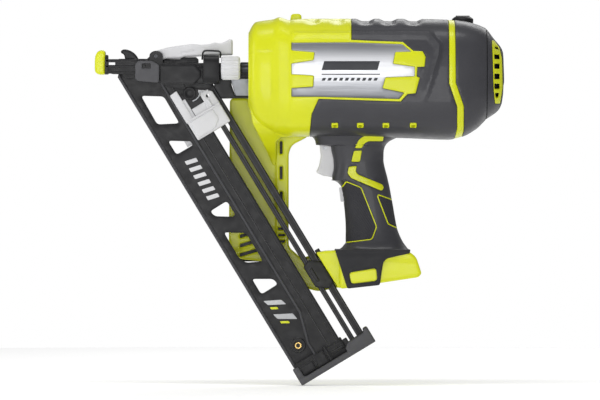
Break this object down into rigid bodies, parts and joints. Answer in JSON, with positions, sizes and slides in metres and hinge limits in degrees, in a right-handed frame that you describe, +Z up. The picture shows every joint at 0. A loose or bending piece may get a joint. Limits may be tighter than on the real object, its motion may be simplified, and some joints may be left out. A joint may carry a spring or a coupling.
{
  "type": "nail gun",
  "caption": "Cordless angled finish nailer with built-in air compressor: barrel housing, pistol handle, battery foot, leaning nail magazine, nose with jam latch and depth wheel.",
  "frame": {"origin": "centre of the nose pad's contact face, where the tool is pressed on the work", "axes": "+X back along the drive axis, +Z up towards the top of the barrel, -Y the tool's left side with the nail pusher"},
  "size_m": [0.3467, 0.0996, 0.3131],
  "materials": {
    "black": "glass-filled, satin",
    "board": "satin",
    "brass": "satin",
    "casting": "as cast",
    "charcoal": "satin",
    "copper": "satin",
    "lime": "satin moulded, bright yellow-green",
    "overmold": "soft-touch, fine texture",
    "pale": "satin",
    "rubber": "matte",
    "silver": "brushed",
    "steel": "satin"
  },
  "bodies": {
    "tool": {"housing_left": "lime", "housing_right": "lime", "overmold_left": "overmold", "overmold_right": "overmold", "accent_band_left": "lime", "accent_band_right": "lime", "side_panel_left": "silver", "side_panel_right": "silver", "rear_cap": "overmold", "vent_grille_left": "lime", "vent_grille_right": "lime", "handle_left": "overmold", "handle_right": "overmold", "trigger_pin": "steel", "trigger_switch": "black", "foot_left": "lime", "foot_right": "lime", "foot_saddle_right": "overmold", "foot_saddle_left": "overmold", "battery_contacts": "black", "circuit_board": "board", "motor_cover": "lime", "motor_housing": "lime", "motor_can": "black", "compressor_cylinder": "casting", "drive_cylinder": "casting", "drive_bumper": "rubber", "valve_head": "casting", "driver_guide": "black", "nose_casting": "casting", "nose_cover": "black", "nose_side_plate": "charcoal", "latch_pin": "steel", "magazine_left": "black", "magazine_right": "black", "magazine_screw": "brass", "head_rail": "black", "guide_rail": "black", "magazine_end_cap": "charcoal", "magazine_bracket": "black"},
    "trigger": {"trigger": "pale"},
    "grip_switch": {"grip_switch": "pale"},
    "power_dial": {"power_dial": "black"},
    "contact_shaft": {"adjuster_shaft": "steel"},
    "contact_head": {"contact_arm": "black", "nose_pad": "lime"},
    "depth_wheel": {"depth_wheel": "pale"},
    "latch": {"latch_lever": "pale"},
    "jam_door": {"jam_door": "black"},
    "pusher": {"nail_pusher": "pale", "pusher_roller": "black", "pusher_clip": "steel"},
    "motor": {"motor_rotor": "copper", "motor_pinion": "steel", "motor_fan": "black"},
    "crank": {"crank_gear": "steel"},
    "compressor": {"compressor_piston": "casting"},
    "con_rod": {"con_rod": "steel"},
    "driver": {"drive_piston": "casting", "driver_blade": "steel"}
  },
  "joints": [
    {"name": "trigger_pull", "type": "hinge", "parent": "tool", "child": "trigger", "pos_m": [0.1949, 0, -0.0714], "axis": [0, -1, 0], "range_deg": [0, 10], "stiffness_Nm_per_rad": 0.3, "springref_deg": -14.32},
    {"name": "grip_press", "type": "slide", "parent": "tool", "child": "grip_switch", "axis": [1, 0, 0], "range_m": [0, 0.002], "stiffness_N_per_m": 600, "springref_m": -0.003},
    {"name": "dial_turn", "type": "hinge", "parent": "tool", "child": "power_dial", "pos_m": [0.3125, 0, 0.038], "axis": [0, 0, 1], "range_deg": [-135, 135]},
    {"name": "contact_press", "type": "slide", "parent": "tool", "child": "contact_shaft", "axis": [1, 0, 0], "range_m": [0, 0.006], "stiffness_N_per_m": 500, "springref_m": -0.012},
    {"name": "depth_turn", "type": "hinge", "parent": "contact_shaft", "child": "depth_wheel", "pos_m": [0.1155, -0.0195, -0.0039], "axis": [1, 0, 0], "range_deg": [-180, 180]},
    {"name": "depth_shift", "type": "slide", "parent": "contact_shaft", "child": "contact_head", "axis": [1, 0, 0], "range_m": [-0.0008, 0.0008]},
    {"name": "latch_open", "type": "hinge", "parent": "tool", "child": "latch", "pos_m": [0.052, 0, 0.0064], "axis": [0, -1, 0], "range_deg": [0, 90]},
    {"name": "door_open", "type": "hinge", "parent": "tool", "child": "jam_door", "pos_m": [0.052, 0, 0.0064], "axis": [0, 1, 0], "range_deg": [0, 41]},
    {"name": "pusher_slide", "type": "slide", "parent": "tool", "child": "pusher", "axis": [0.518, 0, -0.8554], "range_m": [0, 0.2], "stiffness_N_per_m": 20, "springref_m": -0.5},
    {"name": "motor_spin", "type": "hinge", "parent": "tool", "child": "motor", "pos_m": [0.142, 0.0265, -0.057], "axis": [0, 1, 0], "continuous": true},
    {"name": "crank_spin", "type": "hinge", "parent": "tool", "child": "crank", "pos_m": [0.166, 0.0265, -0.039], "axis": [0, 1, 0], "continuous": true},
    {"name": "compressor_stroke", "type": "slide", "parent": "tool", "child": "compressor", "axis": [1, 0, 0], "range_m": [0, 0.018]},
    {"name": "con_rod_swing", "type": "hinge", "parent": "compressor", "child": "con_rod", "pos_m": [0.221, 0, -0.039], "axis": [0, 1, 0], "range_deg": [-8, 8]},
    {"name": "drive_stroke", "type": "slide", "parent": "tool", "child": "driver", "axis": [-1, 0, 0], "range_m": [0, 0.095]}
  ],
  "couplings": [
    {"joint": "depth_shift", "follows": "depth_turn", "m_per_rad": 0.00025},
    {"joint": "door_open", "follows": "latch_open", "ratio": 0.45},
    {"joint": "crank_spin", "follows": "motor_spin", "ratio": -0.42857}
  ]
}
